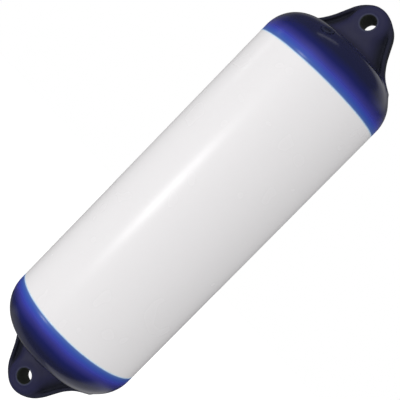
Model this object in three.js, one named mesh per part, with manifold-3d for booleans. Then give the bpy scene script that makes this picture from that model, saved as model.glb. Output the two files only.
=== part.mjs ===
// Double-eye inflatable boat fender: a white vinyl body whose ends are closed by two blue moulded rope holds.
// Millimetres, +Z up along the fender's axis, +Y along the upper eye, origin at the upper eye's centre.
// A rope hold is modelled eye up, its eye centred on the origin, and is then placed at its end of the body.

import * as THREE from "three";
import { mergeVertices } from "three/addons/utils/BufferGeometryUtils.js";
import Module from "manifold-3d";

const wasm = await Module();
wasm.setup();

// Body
const bodyDiameter = 150;
const bodyWall = 3;
const whiteLength = 334; // from one colour line to the other
const bodyEndWall = 2.5; // what is left of the body's wall where it ends inside a rope hold

// Rope hold: skirt, shoulder and crown
const skirtLength = 7.7; // straight skirt between the colour line and the shoulder
const shoulderRadius = 37.5;
const holdWall = 5;
const skirtEdge = 0.8; // thickness of the skirt where it thins out over the body
const lapLength = 24; // how far the body reaches into the rope hold
const fuseGap = 0.3; // between the two vinyls, all along the lap

// Rope hold: eye and the lug that carries it
const eyeRise = 30.5; // eye centre above the crown
const eyeBore = 16;
const eyeLength = 27; // length of the bore, over both lips
const lipWidth = 2.2;
const lipHeight = 0.8;
const bossRadius = 19.3;
const bossRounding = 5.5;
const footFillet = 7; // between the lug's faces and the crown
const lugTipRadius = 30.5;
const flankAngle = 27.5; // degrees between the lug's flank and the fender's axis
const flankFillet = 75; // concave arc from the flank down to the shoulder
const rimWidth = 4;
const rimThickness = 13;
const rimRounding = 2;
const grooveWidth = 2.6;
const webThickness = 6.4; // at the bottom of the groove inside each rim
const sideSlope = 1.1; // rise of the lug's sides, from the groove up to the flat face, for each millimetre in
const lowerHoldTurn = 5; // degrees by which the lower eye is turned from the upper one

// Air valve on the shoulder of the upper rope hold
const valveTilt = 39.5; // degrees between the valve's axis and the fender's
const valveTurn = -4.5; // degrees about the fender's axis from straight below the front of the eye
const insertDiameter = 12;
const insertDepth = 12;
const insertProud = 0.4;
const screwHeadDiameter = 6.4;
const screwHeadHeight = 1.6;
const screwDiameter = 4;
const screwLength = 8;
const slotWidth = 1;
const slotDepth = 0.9;
const valveGap = 0.3;

// Facets
const turnSegments = 64;
const shoulderSegments = 8;
const filletSegments = 6;
const tipSegments = 14;
const boreSegments = 32;
const valveSegments = 20;
const roundingSegments = 3;
const reach = 10; // how far a cutting solid runs past what it cuts

// Places that follow from the sizes
const bodyRadius = bodyDiameter / 2;
const shoulderCentreRadius = bodyRadius - shoulderRadius;
const crownZ = -eyeRise;
const shoulderZ = crownZ - shoulderRadius;
const colourLineZ = shoulderZ - skirtLength;
const eyeSpacing = whiteLength - 2 * colourLineZ;
const lapTopZ = colourLineZ + lapLength;
const faceThickness = eyeLength - 2 * lipHeight;
const sideRise = (faceThickness - webThickness) / 2;
const sideWidth = sideRise / sideSlope;

const whiteVinyl = new THREE.MeshStandardMaterial({ color: 0xe6e5e8, roughness: 0.3, metalness: 0 });
const blueVinyl = new THREE.MeshStandardMaterial({ color: 0x1e2350, roughness: 0.25, metalness: 0 });
const valveVinyl = new THREE.MeshStandardMaterial({ color: 0x1a1e40, roughness: 0.35, metalness: 0 });
const screwNylon = new THREE.MeshStandardMaterial({ color: 0x14172c, roughness: 0.45, metalness: 0 });

// Turns a closed three.js geometry into a solid that can be joined and cut.
function solidOf(geometry) {
  const bare = geometry.clone();
  bare.deleteAttribute("normal");
  bare.deleteAttribute("uv");
  const merged = mergeVertices(bare, 1e-4);
  const vertProperties = new Float32Array(merged.attributes.position.array);
  const triVerts = new Uint32Array(merged.index.array);
  return new wasm.Manifold(new wasm.Mesh({ numProp: 3, vertProperties, triVerts }));
}

// Turns a solid back into a three.js mesh with its name and material.
function meshOf(name, solid, material) {
  const { vertProperties, triVerts } = solid.getMesh();
  const geometry = new THREE.BufferGeometry();
  geometry.setAttribute("position", new THREE.BufferAttribute(vertProperties, 3));
  geometry.setIndex(new THREE.BufferAttribute(triVerts, 1));
  geometry.computeVertexNormals();
  const mesh = new THREE.Mesh(geometry, material);
  mesh.name = name;
  return mesh;
}

// A geometry turned about Z from a profile of [radius, z] points that runs upwards along its outside.
function turned(profile, segments) {
  const points = profile.map(([radius, z]) => new THREE.Vector2(radius, z));
  return new THREE.LatheGeometry(points, segments).rotateX(Math.PI / 2);
}

// A plate that lies in the XZ plane, centred on Y = 0. Its edges are bevelled by width along its faces and by
// height across them, in several steps for a rounding and in one for a slope.
function plate(shape, thickness, width = 0, height = width, steps = roundingSegments) {
  const geometry = new THREE.ExtrudeGeometry(shape, {
    depth: thickness - 2 * height,
    bevelEnabled: width > 0,
    bevelSize: width,
    bevelOffset: -width,
    bevelThickness: height,
    bevelSegments: steps,
  });
  geometry.translate(0, 0, height - thickness / 2);
  return solidOf(geometry.rotateX(Math.PI / 2));
}

// The [radius, z] points of an arc, first and last included.
function arcPoints(centreRadius, centreZ, radius, fromDegrees, toDegrees, segments) {
  return Array.from({ length: segments + 1 }, (_, i) => {
    const angle = THREE.MathUtils.degToRad(fromDegrees + ((toDegrees - fromDegrees) * i) / segments);
    return [centreRadius + radius * Math.cos(angle), centreZ + radius * Math.sin(angle)];
  });
}

// The skirt, shoulder and crown as the outside shows them, solid down to the colour line.
function domeSolid() {
  const profile = [
    [0, colourLineZ],
    [bodyRadius, colourLineZ],
    ...arcPoints(shoulderCentreRadius, shoulderZ, shoulderRadius, 0, 90, shoulderSegments),
    [0, crownZ],
  ];
  return solidOf(turned(profile, turnSegments));
}

// Radius of the lap's outer face, which thins the skirt from its full wall to its edge.
function lapRadius(z) {
  const innerRadius = shoulderRadius - holdWall;
  const topRadius = shoulderCentreRadius + Math.sqrt(innerRadius ** 2 - (lapTopZ - shoulderZ) ** 2);
  const edgeRadius = bodyRadius - skirtEdge;
  return edgeRadius + ((topRadius - edgeRadius) * (z - colourLineZ)) / lapLength;
}

// The air space inside a rope hold, with the tapered seat that the body fits.
function cavitySolid() {
  const innerRadius = shoulderRadius - holdWall;
  const startAngle = THREE.MathUtils.radToDeg(Math.asin((lapTopZ - shoulderZ) / innerRadius));
  const below = colourLineZ - reach;
  const profile = [
    [0, below],
    [lapRadius(below), below],
    ...arcPoints(shoulderCentreRadius, shoulderZ, innerRadius, startAngle, 90, shoulderSegments),
    [0, crownZ - holdWall],
  ];
  return solidOf(turned(profile, turnSegments));
}

// Centre of the concave arc that touches the lug's right flank and the shoulder.
function flankFilletCentre() {
  const angle = THREE.MathUtils.degToRad(flankAngle);
  const outward = new THREE.Vector2(Math.cos(angle), Math.sin(angle));
  const down = new THREE.Vector2(Math.sin(angle), -Math.cos(angle));
  const tipCentre = new THREE.Vector2(0, bossRadius - lugTipRadius);
  const offFlank = tipCentre.addScaledVector(outward, lugTipRadius + flankFillet);
  const fromShoulder = offFlank.clone().sub(new THREE.Vector2(shoulderCentreRadius, shoulderZ));
  const middle = -fromShoulder.dot(down);
  const touching = (flankFillet + shoulderRadius) ** 2;
  const along = middle - Math.sqrt(middle ** 2 - fromShoulder.lengthSq() + touching);
  return offFlank.addScaledVector(down, along);
}

// The bell-shaped outline of the lug, moved in by inset and closed inside the dome: an arc about the tip,
// straight flanks that touch it, and a concave arc from each flank to where it touches the shoulder.
function lugOutline(inset = 0) {
  const centre = flankFilletCentre();
  const toShoulder = new THREE.Vector2(shoulderCentreRadius, shoulderZ).sub(centre);
  const footAngle = THREE.MathUtils.radToDeg(toShoulder.angle());
  const right = arcPoints(centre.x, centre.y, flankFillet + inset,
    footAngle, 180 + flankAngle, filletSegments);
  const tip = arcPoints(0, bossRadius - lugTipRadius, lugTipRadius - inset,
    flankAngle, 180 - flankAngle, tipSegments);
  const left = right.map(([x, z]) => [-x, z]).reverse();
  const [footX] = right[0];
  return shapeOf([[-footX, shoulderZ], [footX, shoulderZ], ...right, ...tip, ...left]);
}

// A closed shape through [x, z] points.
function shapeOf(points) {
  return new THREE.Shape(points.map(([x, z]) => new THREE.Vector2(x, z)));
}

// Half the width of the lug's flat face where it meets the crown.
function faceHalfWidth() {
  const centre = flankFilletCentre();
  const radius = flankFillet + rimWidth + grooveWidth + sideWidth;
  return centre.x - Math.sqrt(radius ** 2 - (crownZ - centre.y) ** 2);
}

// The concave foot between the lug's +Y face and the crown. Its ends carry on the slopes beside the face.
function footSolid() {
  const face = faceThickness / 2;
  const root = face + footFillet;
  const bottom = crownZ - holdWall / 2;
  const top = crownZ + footFillet;
  const arc = arcPoints(root, top, footFillet, 270, 180, filletSegments);
  const section = shapeOf([[0, bottom], [root, bottom], ...arc, [0, top]]);
  const middleHalf = faceHalfWidth() + face / sideSlope;
  const rootHalf = faceHalfWidth() - footFillet / sideSlope;
  const bar = new THREE.ExtrudeGeometry(section, { depth: 2 * middleHalf, bevelEnabled: false });
  bar.translate(0, 0, -middleHalf).rotateX(Math.PI / 2).rotateZ(Math.PI / 2);
  const plan = shapeOf([[-middleHalf, 0], [middleHalf, 0], [rootHalf, root], [-rootHalf, root]]);
  const wedge = new THREE.ExtrudeGeometry(plan, { depth: top - bottom, bevelEnabled: false });
  return solidOf(bar).intersect(solidOf(wedge.translate(0, 0, bottom)));
}

// The lug: a rim with a groove inside it, sides that slope up to flat faces, and a round boss for the eye.
function lugSolid() {
  const pocketDepth = (rimThickness - webThickness) / 2 + reach;
  const pocketShift = webThickness / 2 + pocketDepth / 2;
  let lug = plate(lugOutline(), rimThickness, rimRounding);
  for (const side of [-1, 1]) {
    lug = lug.subtract(plate(lugOutline(rimWidth), pocketDepth).translate(0, side * pocketShift, 0));
  }
  const middle = plate(lugOutline(rimWidth + grooveWidth), faceThickness, sideWidth, sideRise, 1);
  const bossOutline = shapeOf(arcPoints(0, 0, bossRadius, 0, 360, 2 * tipSegments).slice(1));
  const foot = footSolid();
  lug = lug.add(middle).add(plate(bossOutline, faceThickness, bossRounding));
  return lug.add(foot).add(foot.rotate(0, 0, 180));
}

// A cylinder about Y through the eye's centre.
function eyeCylinder(radius, length) {
  return solidOf(new THREE.CylinderGeometry(radius, radius, length, boreSegments));
}

// Puts a solid that was modelled about Z at the valve's place, its Z = 0 at the outside of the shoulder.
function atValve(geometry) {
  const tilt = THREE.MathUtils.degToRad(valveTilt);
  const radius = shoulderCentreRadius + shoulderRadius * Math.sin(tilt);
  const z = shoulderZ + shoulderRadius * Math.cos(tilt);
  return geometry.rotateX(tilt).translate(0, -radius, z).rotateZ(THREE.MathUtils.degToRad(valveTurn));
}

// One rope hold, eye up. The upper one is pierced for the valve.
function holdMesh(name, pierced) {
  let hold = domeSolid().add(lugSolid()).add(eyeCylinder(eyeBore / 2 + lipWidth, eyeLength));
  hold = hold.subtract(cavitySolid()).subtract(eyeCylinder(eyeBore / 2, eyeLength + reach));
  if (pierced) {
    const radius = insertDiameter / 2 + valveGap;
    const hole = turned([[0, -reach], [radius, -reach], [radius, reach], [0, reach]], valveSegments);
    hold = hold.subtract(solidOf(atValve(hole)));
  }
  return meshOf(name, hold, blueVinyl);
}

// The white body: a tube whose ends taper to fit under the skirts of the rope holds.
function bodyMesh() {
  const middleZ = colourLineZ - whiteLength / 2;
  const seamZ = colourLineZ - fuseGap;
  const tipRadius = lapRadius(lapTopZ) - fuseGap;
  const outside = [
    [bodyRadius, seamZ],
    [lapRadius(colourLineZ) - fuseGap, seamZ],
    [tipRadius, lapTopZ],
  ];
  const inside = [
    [tipRadius - bodyEndWall, lapTopZ],
    [bodyRadius - bodyWall, seamZ - bodyWall],
  ];
  const mirrored = (points) => points.map(([radius, z]) => [radius, 2 * middleZ - z]).reverse();
  const outline = [...mirrored(outside), ...outside, ...inside, ...mirrored(inside)];
  return meshOf("body_shell", solidOf(turned([...outline, outline[0]], turnSegments)), whiteVinyl);
}

// The sleeve that carries the air valve through the shoulder.
function valveInsertMesh() {
  const outer = insertDiameter / 2;
  const seat = screwHeadDiameter / 2 + valveGap;
  const bore = screwDiameter / 2 + valveGap;
  const seatZ = insertProud - screwHeadHeight;
  const profile = [
    [bore, -insertDepth],
    [outer, -insertDepth],
    [outer, 0],
    [outer - insertProud, insertProud],
    [seat, insertProud],
    [seat, seatZ],
    [bore, seatZ],
    [bore, -insertDepth],
  ];
  return meshOf("valve_insert", solidOf(atValve(turned(profile, valveSegments))), valveVinyl);
}

// The slotted screw that closes the valve, its head flush with the sleeve.
function valveScrewMesh() {
  const head = screwHeadDiameter / 2;
  const shank = screwDiameter / 2;
  const seatZ = insertProud - screwHeadHeight + valveGap;
  const profile = [
    [0, seatZ - screwLength],
    [shank, seatZ - screwLength],
    [shank, seatZ],
    [head, seatZ],
    [head, insertProud],
    [0, insertProud],
  ];
  const slot = new THREE.BoxGeometry(screwHeadDiameter + reach, slotWidth, 2 * slotDepth);
  slot.translate(0, 0, insertProud);
  const screw = solidOf(atValve(turned(profile, valveSegments))).subtract(solidOf(atValve(slot)));
  return meshOf("valve_screw", screw, screwNylon);
}

const upperEnd = new THREE.Group();
upperEnd.add(holdMesh("upper_rope_hold", true), valveInsertMesh(), valveScrewMesh());

const lowerHold = holdMesh("lower_rope_hold", false);
lowerHold.rotation.x = Math.PI;
const lowerEnd = new THREE.Group();
lowerEnd.position.z = -eyeSpacing;
lowerEnd.rotation.z = THREE.MathUtils.degToRad(lowerHoldTurn);
lowerEnd.add(lowerHold);

const fender = new THREE.Group();
fender.add(bodyMesh(), upperEnd, lowerEnd);

export default fender;
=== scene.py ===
"""Boat fender: the look of a white vinyl body, two blue rope holds and an air valve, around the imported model.

Sizes in the classes are millimetres, as a maker's drawing has them, and every mesh is written in metres.
The part's frame has +Z up the fender's axis, +Y along the upper eye and its origin at the upper eye's centre.
"""

from __future__ import annotations

import logging
import math
from dataclasses import dataclass
from enum import Enum

import bmesh
import bpy
import numpy as np
from mathutils import Matrix, Vector

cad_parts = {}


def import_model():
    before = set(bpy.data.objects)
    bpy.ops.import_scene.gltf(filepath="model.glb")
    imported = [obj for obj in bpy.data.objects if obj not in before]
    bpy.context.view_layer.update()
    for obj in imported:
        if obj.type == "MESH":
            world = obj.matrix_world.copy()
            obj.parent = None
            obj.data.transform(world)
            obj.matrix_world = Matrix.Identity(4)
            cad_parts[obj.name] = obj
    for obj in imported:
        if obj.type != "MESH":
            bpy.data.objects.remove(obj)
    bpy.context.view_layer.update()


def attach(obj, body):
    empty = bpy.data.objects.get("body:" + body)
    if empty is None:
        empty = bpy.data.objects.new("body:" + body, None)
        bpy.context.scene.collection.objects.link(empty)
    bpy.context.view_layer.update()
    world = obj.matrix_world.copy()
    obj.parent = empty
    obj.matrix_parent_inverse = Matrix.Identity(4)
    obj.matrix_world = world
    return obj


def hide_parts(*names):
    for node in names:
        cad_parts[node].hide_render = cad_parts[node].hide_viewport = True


LOG = logging.getLogger("boat_fender")
MM = 0.001
BODY = "root"
# A point counts as on the axis when it is nearer to it than this, in millimetres.
ON_AXIS = 1e-6
# Points count as one when they are nearer to each other than this, in metres.
WELD = 1e-7
# A hole of this radius, in millimetres, takes nothing away.
NO_HOLE = -10.0

Colour = tuple[float, float, float]
Ring = list[tuple[float, float]]


class End(Enum):
    """The two ends of the fender."""

    UPPER = "upper_rope_hold"
    LOWER = "lower_rope_hold"


@dataclass(frozen=True)
class FenderSizes:
    """Driving sizes of the fender in millimetres, the same as the solids have."""

    body_diameter: float = 150.0
    body_wall: float = 3.0
    body_end_wall: float = 2.5
    white_length: float = 334.0
    skirt_length: float = 7.7
    shoulder_radius: float = 37.5
    hold_wall: float = 5.0
    skirt_edge: float = 0.8
    lap_length: float = 24.0
    fuse_gap: float = 0.3
    eye_rise: float = 30.5
    eye_bore: float = 16.0
    lower_turn: float = 5.0
    valve_tilt: float = 39.5
    valve_turn: float = -4.5
    valve_sleeve: float = 12.0

    @property
    def radius(self) -> float:
        """Outer radius of the body."""
        return self.body_diameter / 2

    @property
    def core(self) -> float:
        """Distance from the axis to the centre of the shoulder's arc."""
        return self.radius - self.shoulder_radius

    @property
    def crown_z(self) -> float:
        """Height of the crown below the upper eye's centre."""
        return -self.eye_rise

    @property
    def shoulder_z(self) -> float:
        """Height of the centre of the shoulder's arc."""
        return self.crown_z - self.shoulder_radius

    @property
    def colour_line_z(self) -> float:
        """Height at which the blue skirt ends on the white body."""
        return self.shoulder_z - self.skirt_length

    @property
    def lap_top_z(self) -> float:
        """Height at which the body ends inside the rope hold."""
        return self.colour_line_z + self.lap_length

    @property
    def eye_spacing(self) -> float:
        """Distance between the two eyes' centres."""
        return self.white_length - 2 * self.colour_line_z

    @property
    def middle_z(self) -> float:
        """Height of the fender's middle."""
        return -self.eye_spacing / 2

    @property
    def inner_shoulder(self) -> float:
        """Radius of the shoulder's arc inside the rope hold."""
        return self.shoulder_radius - self.hold_wall

    @property
    def lap_top_radius(self) -> float:
        """Radius of the lap's face where the body ends."""
        rise = self.lap_top_z - self.shoulder_z
        return self.core + math.sqrt(self.inner_shoulder**2 - rise**2)

    @property
    def lap_edge_radius(self) -> float:
        """Radius of the lap's face at the colour line."""
        return self.radius - self.skirt_edge

    @property
    def lap_slope(self) -> float:
        """Change of the lap's radius for each millimetre upwards."""
        return (self.lap_top_radius - self.lap_edge_radius) / self.lap_length

    def lap_radius(self, z: float) -> float:
        """Radius of the lap's face at a height.

        Args:
            z: Height in the rope hold's own frame.

        Returns:
            The radius in millimetres.
        """
        return self.lap_edge_radius + self.lap_slope * (z - self.colour_line_z)


def place(end: End, sizes: FenderSizes) -> Matrix:
    """Gives the move from a rope hold's own frame, eye up, to its end of the fender.

    Args:
        end: Which end of the fender.
        sizes: The fender's sizes.

    Returns:
        A rigid transform in metres.
    """
    if end is End.UPPER:
        return Matrix.Identity(4)
    drop = Matrix.Translation((0.0, 0.0, -sizes.eye_spacing * MM))
    turn = Matrix.Rotation(math.radians(sizes.lower_turn), 4, "Z")
    return drop @ turn @ Matrix.Rotation(math.pi, 4, "X")


# Meshes


def arc(centre: tuple[float, float], radius: float, start: float, stop: float, steps: int) -> Ring:
    """Lists the points of an arc in the plane of radius and height.

    Args:
        centre: The arc's centre.
        radius: Its radius.
        start: First angle in degrees, from the direction of growing radius.
        stop: Last angle in degrees.
        steps: Number of chords.

    Returns:
        The points, both ends included.
    """
    angles = np.radians(np.linspace(start, stop, steps + 1))
    return [(centre[0] + radius * math.cos(a), centre[1] + radius * math.sin(a)) for a in angles]


def revolved(profile: Ring, segments: int) -> bmesh.types.BMesh:
    """Turns a profile about Z into a closed mesh.

    Args:
        profile: Points of radius and height in millimetres. It closes on itself, or ends on the axis.
        segments: Number of steps round the axis.

    Returns:
        A mesh in metres.
    """
    bm = bmesh.new()
    rings = []
    for radius, z in profile:
        if radius < ON_AXIS:
            rings.append([bm.verts.new((0.0, 0.0, z * MM))] * segments)
            continue
        turns = [2 * math.pi * i / segments for i in range(segments)]
        ring = [(radius * math.cos(a), radius * math.sin(a), z) for a in turns]
        rings.append([bm.verts.new(Vector(point) * MM) for point in ring])
    ends_on_axis = profile[0][0] < ON_AXIS and profile[-1][0] < ON_AXIS
    pairs = list(zip(rings, rings[1:]))
    if not ends_on_axis:
        pairs.append((rings[-1], rings[0]))
    for low, high in pairs:
        for i in range(segments):
            j = (i + 1) % segments
            corners = list(dict.fromkeys((low[i], low[j], high[j], high[i])))
            if len(corners) > 2:
                bm.faces.new(corners)
    bmesh.ops.recalc_face_normals(bm, faces=bm.faces)
    return bm


def object_from(bm: bmesh.types.BMesh, name: str, material: bpy.types.Material,
                sharp: float) -> bpy.types.Object:
    """Makes a smooth-shaded object of a mesh, and frees the mesh's working copy.

    Args:
        bm: The mesh in metres, in the part's frame.
        name: The object's name.
        material: Its finish.
        sharp: Angle in degrees past which an edge stays sharp.

    Returns:
        The object, linked to the scene.
    """
    for face in bm.faces:
        face.smooth = True
        face.material_index = 0
    for edge in bm.edges:
        if len(edge.link_faces) == 2:
            edge.smooth = edge.calc_face_angle(0.0) < math.radians(sharp)
    mesh = bpy.data.meshes.new(name)
    bm.to_mesh(mesh)
    bm.free()
    mesh.materials.append(material)
    obj = bpy.data.objects.new(name, mesh)
    bpy.context.scene.collection.objects.link(obj)
    return obj


def zip_rings(bm: bmesh.types.BMesh, first: list[bmesh.types.BMVert],
              second: list[bmesh.types.BMVert]) -> None:
    """Closes the gap between two rings of points about Z that may differ in number.

    Args:
        bm: The mesh that holds both rings.
        first: One ring.
        second: The other ring.
    """
    def turn(vert: bmesh.types.BMVert) -> float:
        """Angle of a point about Z."""
        return math.atan2(vert.co.y, vert.co.x)

    a = sorted(first, key=turn)
    b = sorted(second, key=turn)
    i = j = 0
    while i < len(a) or j < len(b):
        next_a = turn(a[i + 1]) if i + 1 < len(a) else turn(a[0]) + 2 * math.pi
        next_b = turn(b[j + 1]) if j + 1 < len(b) else turn(b[0]) + 2 * math.pi
        if j >= len(b) or (i < len(a) and next_a <= next_b):
            bm.faces.new((a[i], a[(i + 1) % len(a)], b[j % len(b)]))
            i += 1
        else:
            bm.faces.new((a[i % len(a)], b[(j + 1) % len(b)], b[j]))
            j += 1


# Shape rules as fields


@dataclass(frozen=True)
class Field:
    """A number that varies over space in a geometry node tree, so that a shape's rule reads as arithmetic."""

    tree: bpy.types.NodeTree
    socket: bpy.types.NodeSocket

    def math(self, operation: str, *others: "Field | float") -> "Field":
        """Adds one Math node.

        Args:
            operation: The node's operation.
            others: Further operands.

        Returns:
            The result as a field.
        """
        node = self.tree.nodes.new("ShaderNodeMath")
        node.operation = operation
        for slot, operand in zip(node.inputs, (self, *others)):
            if isinstance(operand, Field):
                self.tree.links.new(operand.socket, slot)
            else:
                slot.default_value = operand
        return Field(self.tree, node.outputs[0])

    def __add__(self, other: "Field | float") -> "Field":
        """Sum."""
        return self.math("ADD", other)

    def __sub__(self, other: "Field | float") -> "Field":
        """Difference."""
        return self.math("SUBTRACT", other)

    def __mul__(self, other: "Field | float") -> "Field":
        """Product."""
        return self.math("MULTIPLY", other)

    def __neg__(self) -> "Field":
        """Opposite."""
        return self.math("MULTIPLY", -1.0)

    def magnitude(self) -> "Field":
        """Size without sign."""
        return self.math("ABSOLUTE")

    def root(self) -> "Field":
        """Square root."""
        return self.math("SQRT")

    def above(self, limit: "Field | float") -> "Field":
        """One where the field exceeds a limit, and zero elsewhere."""
        return self.math("GREATER_THAN", limit)

    def most(self, other: "Field | float") -> "Field":
        """The larger of two fields."""
        return self.math("MAXIMUM", other)

    def least(self, other: "Field | float") -> "Field":
        """The smaller of two fields."""
        return self.math("MINIMUM", other)

    def join(self, other: "Field", blend: "Field | float") -> "Field":
        """Distance to two bodies joined with a soft fillet."""
        return self.math("SMOOTH_MIN", other, blend)

    def cut(self, other: "Field", blend: "Field | float") -> "Field":
        """Distance to this body with another taken out of it and the new edge eased."""
        return self.math("SMOOTH_MAX", -other, blend)


def span(a: Field, b: Field) -> Field:
    """Length of the vector with two components."""
    return (a * a + b * b).root()


def slab(outline: Field, across: Field, half: Field | float, rounding: float) -> Field:
    """Distance to a plate with rounded edges.

    Args:
        outline: Distance to the plate's outline in its own plane.
        across: Distance from the plate's middle plane.
        half: Half the plate's thickness.
        rounding: Radius of its edges.

    Returns:
        The distance as a field.
    """
    wide = outline + rounding
    deep = across - half + rounding
    outside = span(wide.most(0.0), deep.most(0.0))
    return outside + wide.most(deep).least(0.0) - rounding


# Sub-assemblies


@dataclass
class RopeHold:
    """One blue moulded end: skirt, shoulder, crown and the lug with its eye.

    A geometry node tree holds the end's shape as one rule, the distance to its surface, so that every part of
    it runs into the next with the soft fillets of a moulding. The tree is built once and serves both ends.
    """

    end: End
    sizes: FenderSizes
    finish: bpy.types.Material
    valve_clearance: float = 0.15
    eye_length: float = 27.0
    lip_width: float = 2.2
    lip_height: float = 0.8
    boss_radius: float = 19.3
    tip_radius: float = 30.5
    flank_angle: float = 27.5
    flank_fillet: float = 75.0
    rim_width: float = 4.0
    rim_thickness: float = 13.0
    groove_width: float = 2.6
    groove_thickness: float = 6.4
    side_slope: float = 1.1
    boss_rounding: float = 5.5
    rim_rounding: float = 1.9
    lip_rounding: float = 1.0
    groove_blend: float = 2.5
    boss_blend: float = 9.0
    face_blend: float = 5.0
    flank_blend: float = 9.0
    foot_blend: float = 15.0
    lip_blend: float = 1.2
    tip_easing: float = 0.6
    bore_easing: float = 0.9
    hole_easing: float = 0.7
    voxel: float = 0.97
    probe_reach: float = 0.1
    cut_z: float = -71.0
    skirt_easing: float = 0.25

    @property
    def name(self) -> str:
        """Name of the piece."""
        return "blue_end_upper" if self.end is End.UPPER else "blue_end_lower"

    @property
    def valve_hole(self) -> float:
        """Radius of the valve's hole, which only the upper end has."""
        if self.end is End.LOWER:
            return NO_HOLE
        return self.sizes.valve_sleeve / 2 + self.valve_clearance

    def flank_fillet_centre(self) -> tuple[float, float]:
        """Finds the centre of the arc that touches the lug's flank and the dome's shoulder.

        Returns:
            The centre's distance from the axis and its height.
        """
        angle = math.radians(self.flank_angle)
        outward = Vector((math.cos(angle), math.sin(angle)))
        down = Vector((math.sin(angle), -math.cos(angle)))
        tip = Vector((0.0, self.boss_radius - self.tip_radius))
        shoulder = Vector((self.sizes.core, self.sizes.shoulder_z))
        start = tip + outward * (self.tip_radius + self.flank_fillet)
        gap = start - shoulder
        middle = -gap.dot(down)
        touching = (self.flank_fillet + self.sizes.shoulder_radius) ** 2
        centre = start + down * (middle - math.sqrt(middle**2 - gap.length_squared + touching))
        return centre.x, centre.y

    def rule_sizes(self) -> dict[str, float]:
        """Lists the sizes that the rule reads.

        Returns:
            Each size in millimetres or degrees by the name of its input.
        """
        fillet_x, fillet_z = self.flank_fillet_centre()
        to_shoulder = Vector((fillet_x - self.sizes.core, fillet_z - self.sizes.shoulder_z)).normalized()
        tilt = math.radians(self.sizes.valve_tilt)
        return {
            "Core": self.sizes.core,
            "Shoulder radius": self.sizes.shoulder_radius,
            "Shoulder height": self.sizes.shoulder_z,
            "Inner shoulder": self.sizes.inner_shoulder,
            "Lap top height": self.sizes.lap_top_z,
            "Lap top radius": self.sizes.lap_top_radius,
            "Lap slope": self.sizes.lap_slope,
            "Tip radius": self.tip_radius,
            "Tip height": self.boss_radius - self.tip_radius,
            "Flank angle": math.radians(self.flank_angle),
            "Flank fillet": self.flank_fillet,
            "Fillet centre": fillet_x,
            "Fillet height": fillet_z,
            "Lug foot": self.sizes.core + self.sizes.shoulder_radius * to_shoulder.x,
            "Half rim width": self.rim_width / 2,
            "Half rim thickness": self.rim_thickness / 2,
            "Groove width": self.groove_width,
            "Half groove thickness": self.groove_thickness / 2,
            "Side slope": self.side_slope,
            "Boss radius": self.boss_radius,
            "Half boss thickness": self.eye_length / 2 - self.lip_height,
            "Half eye length": self.eye_length / 2,
            "Lip radius": self.sizes.eye_bore / 2 + self.lip_width,
            "Bore radius": self.sizes.eye_bore / 2,
            "Valve hole radius": self.valve_hole,
            "Valve tilt": tilt,
            "Valve turn": math.radians(self.sizes.valve_turn),
            "Valve distance": self.sizes.core + self.sizes.shoulder_radius * math.sin(tilt),
            "Valve height": self.sizes.shoulder_z + self.sizes.shoulder_radius * math.cos(tilt),
        }

    def rule(self) -> bpy.types.NodeTree:
        """Builds the node group that gives the distance to the end's surface at a position.

        Returns:
            The group, with Position and the sizes in, and Distance out.
        """
        tree = bpy.data.node_groups.new("Rope hold rule", "GeometryNodeTree")
        tree.interface.new_socket("Position", in_out="INPUT", socket_type="NodeSocketVector")
        for name in self.rule_sizes():
            tree.interface.new_socket(name, in_out="INPUT", socket_type="NodeSocketFloat")
        tree.interface.new_socket("Distance", in_out="OUTPUT", socket_type="NodeSocketFloat")
        source = tree.nodes.new("NodeGroupInput")
        size = {name: Field(tree, source.outputs[name]) for name in self.rule_sizes()}
        split = tree.nodes.new("ShaderNodeSeparateXYZ")
        tree.links.new(source.outputs["Position"], split.inputs[0])
        x, y, z = (Field(tree, split.outputs[i]) for i in range(3))

        hold = self.dome_rule(size, x, y, z, self.lug_rule(size, x.magnitude(), y.magnitude(), z))
        hold = self.openings_rule(size, x, y, z, hold)
        sink = tree.nodes.new("NodeGroupOutput")
        tree.links.new(hold.socket, sink.inputs["Distance"])
        return tree

    def dome_rule(self, size: dict[str, Field], x: Field, y: Field, z: Field, lug: Field) -> Field:
        """Distance to the skirt, shoulder and crown with the lug run into them.

        Args:
            size: The rule's sizes.
            x: Position across the lug.
            y: Position along the eye's bore.
            z: Height.
            lug: Distance to the lug.

        Returns:
            The distance to the outside, with no cavity yet.
        """
        across = span(x, y) - size["Core"]
        above = z - size["Shoulder height"]
        round_part = span(across.most(0.0), above.most(0.0))
        dome = round_part + across.most(above).least(0.0) - size["Shoulder radius"]
        beside_boss = (x.magnitude() - size["Boss radius"]).most(0.0)
        blend = (-beside_boss + self.foot_blend).most(self.flank_blend)
        return dome.join(lug, blend)

    def lug_rule(self, size: dict[str, Field], x: Field, y: Field, z: Field) -> Field:
        """Distance to the bell-shaped lug: sloping sides, a groove inside each rim, the boss and its lips.

        Args:
            size: The rule's sizes.
            x: Distance from the lug's middle line, without sign.
            y: Distance from the lug's middle plane, without sign.
            z: Height.

        Returns:
            The distance, with no bore yet.
        """
        outline = self.lug_outline(size, x, z)
        slope = size["Side slope"]
        past_groove = (-outline - size["Half rim width"] * 2.0 - size["Groove width"]).most(0.0)
        steepness = (slope * slope + 1.0).root()
        side = (y - size["Half groove thickness"] - past_groove * slope).math("DIVIDE", steepness)
        face = y - size["Half boss thickness"]
        sides = side.math("SMOOTH_MAX", face, self.face_blend).most(outline)
        band = (outline + size["Half rim width"]).magnitude() - size["Half rim width"]
        rim = slab(band, y, size["Half rim thickness"], self.rim_rounding)
        from_eye = span(x, z)
        boss = slab(from_eye - size["Boss radius"], y, size["Half boss thickness"], self.boss_rounding)
        lips = slab(from_eye - size["Lip radius"], y, size["Half eye length"], self.lip_rounding)
        lug = sides.join(rim, self.groove_blend).join(boss, self.boss_blend)
        return lug.cut(-outline, self.tip_easing).join(lips, self.lip_blend)

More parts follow.
